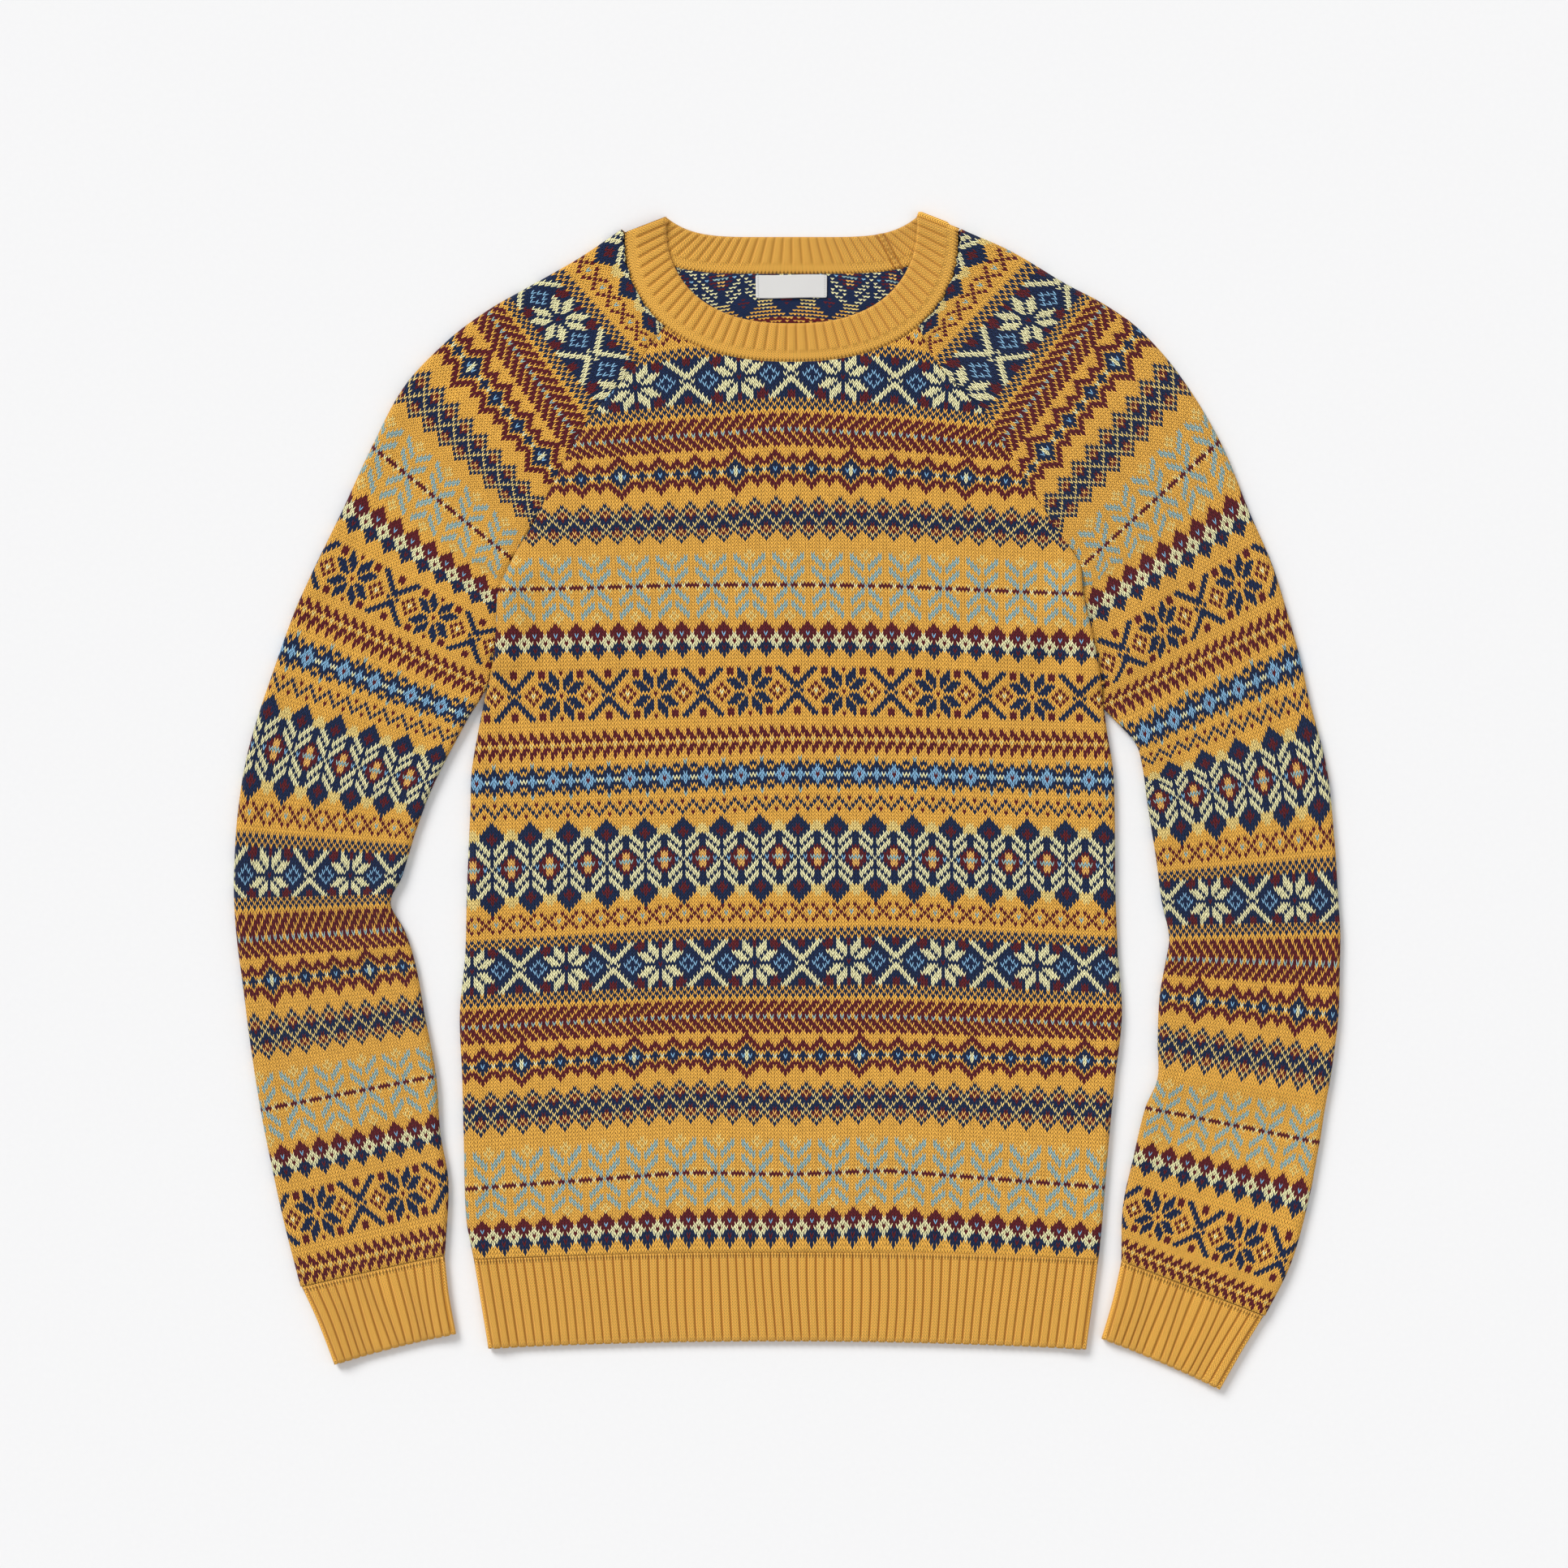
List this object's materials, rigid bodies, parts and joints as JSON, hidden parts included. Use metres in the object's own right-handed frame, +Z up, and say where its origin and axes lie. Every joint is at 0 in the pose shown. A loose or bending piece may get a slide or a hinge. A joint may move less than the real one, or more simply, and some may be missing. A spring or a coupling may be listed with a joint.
{
  "type": "fair isle jumper",
  "caption": "Knitted crew-neck raglan jumper with an all-over fair isle pattern, laid flat on its back with both arms beside the body.",
  "frame": {"origin": "on the surface it lies on, in the middle of its outline", "axes": "+Z up off the surface, +Y towards the neck, +X to the viewer's right looking down on the front"},
  "size_m": [0.708, 0.7526, 0.0098],
  "materials": {
    "patterned_knit": "matt wool knit",
    "mustard_rib": "matt wool rib",
    "woven_label": "satin woven tape, bare"
  },
  "bodies": {
    "root": {"back": "patterned_knit", "front": "patterned_knit", "sleeve_left": "patterned_knit", "sleeve_right": "patterned_knit", "neckband": "mustard_rib", "hem_rib": "mustard_rib", "cuff_left": "mustard_rib", "cuff_right": "mustard_rib", "neck_label": "woven_label"}
  },
  "joints": []
}
